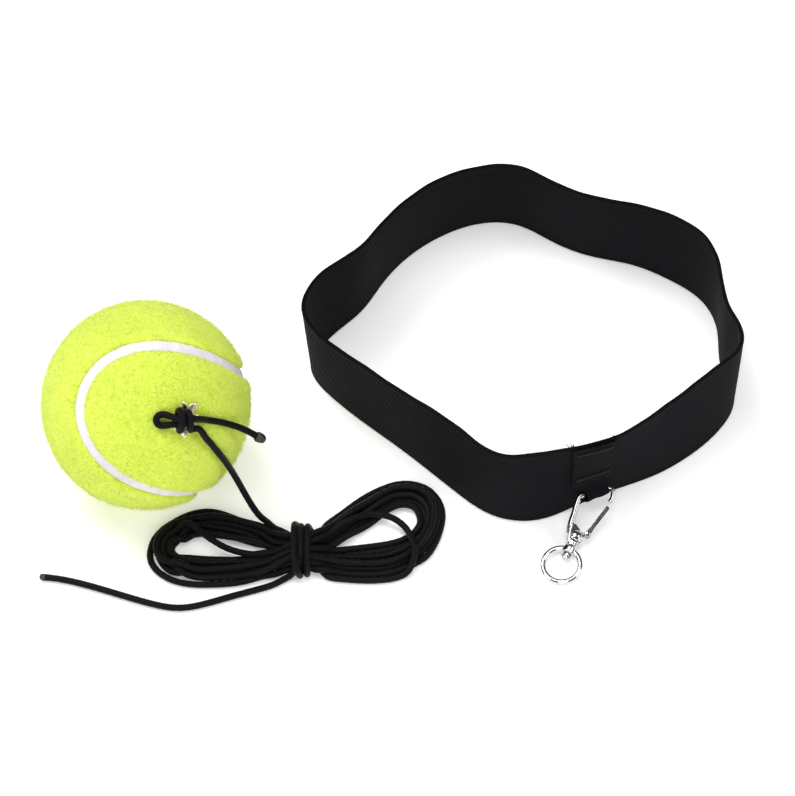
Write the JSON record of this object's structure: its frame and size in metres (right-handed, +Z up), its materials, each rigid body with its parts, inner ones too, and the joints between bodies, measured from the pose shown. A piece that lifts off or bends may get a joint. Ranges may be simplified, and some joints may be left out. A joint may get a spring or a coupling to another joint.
{
  "type": "reflex ball headband",
  "caption": "Elastic headband with a sewn-on swivel snap hook, and a felt ball knotted to a long round elastic cord wound into a tied hank.",
  "frame": {"origin": "on the table, under the middle of the bounding box of the ball, headband and hook together, the cord left out", "axes": "+Z up, standing on the strap's lower edge; +X from the ball towards the headband; -Y the front, where the hook is"},
  "size_m": [0.2241, 0.1501, 0.065],
  "materials": {
    "elastic_webbing": "woven elastic, matte black",
    "tab_webbing": "ribbed webbing, matte black",
    "sewing_thread": "black sewing thread",
    "hook_metal": "bright nickel plating over a zinc casting",
    "gate_metal": "bright nickel plating over pressed steel",
    "eye_metal": "bright nickel plating",
    "spring_steel": "plain spring steel",
    "yellow_felt": "fuzzy yellow-green felt",
    "seam_rubber": "white-grey rubber cement",
    "core_rubber": "matte dark rubber",
    "eyelet_brass": "pressed brass",
    "toggle_plastic": "moulded black plastic",
    "braided_cord": "braided cover over rubber, black",
    "sealed_end": "melted cord end"
  },
  "bodies": {
    "headband": {"strap": "elastic_webbing", "hook_tab": "tab_webbing", "tab_tack_top": "sewing_thread", "tab_tack_middle": "sewing_thread"},
    "snap_hook": {"hook_frame": "hook_metal", "body_rivet": "hook_metal", "swivel_stem": "hook_metal", "gate_pin": "hook_metal", "gate_spring": "spring_steel"},
    "gate": {"gate": "gate_metal"},
    "swivel_eye": {"swivel_eye": "eye_metal"},
    "ball_and_cord": {"felt_panel_front": "yellow_felt", "felt_panel_back": "yellow_felt", "seam_cement": "seam_rubber", "core_front": "core_rubber", "core_back": "core_rubber", "cord_eyelet": "eyelet_brass", "anchor_toggle": "toggle_plastic", "anchor_loop": "braided_cord", "cord_knot": "braided_cord", "knot_bight": "braided_cord", "cord_tail": "braided_cord", "tail_tip": "sealed_end", "cord_lead": "braided_cord", "cord_hank": "braided_cord", "hank_tie": "braided_cord", "cord_free_end": "braided_cord", "free_end_tip": "sealed_end"}
  },
  "joints": [
    {"name": "hook_on_tab", "type": "hinge", "parent": "headband", "child": "snap_hook", "pos_m": [0.0635, -0.0402, 0.0084], "axis": [0.9304, 0.3665, 0], "range_deg": [-90, 45]},
    {"name": "gate_hinge", "type": "hinge", "parent": "snap_hook", "child": "gate", "pos_m": [0.06027, -0.05356, 0.00342], "axis": [0.1485, -0.377, 0.9143], "range_deg": [0, 22], "stiffness_Nm_per_rad": 0.004, "springref_deg": -20.05},
    {"name": "swivel", "type": "hinge", "parent": "snap_hook", "child": "swivel_eye", "pos_m": [0.05467, -0.05861, 0.00224], "axis": [0.4371, 0.8923, 0.1132], "continuous": true},
    {"name": "ball_lift_off", "type": "slide", "parent": "headband", "child": "ball_and_cord", "axis": [0, 0, 1], "range_m": [0, 0.3]}
  ]
}
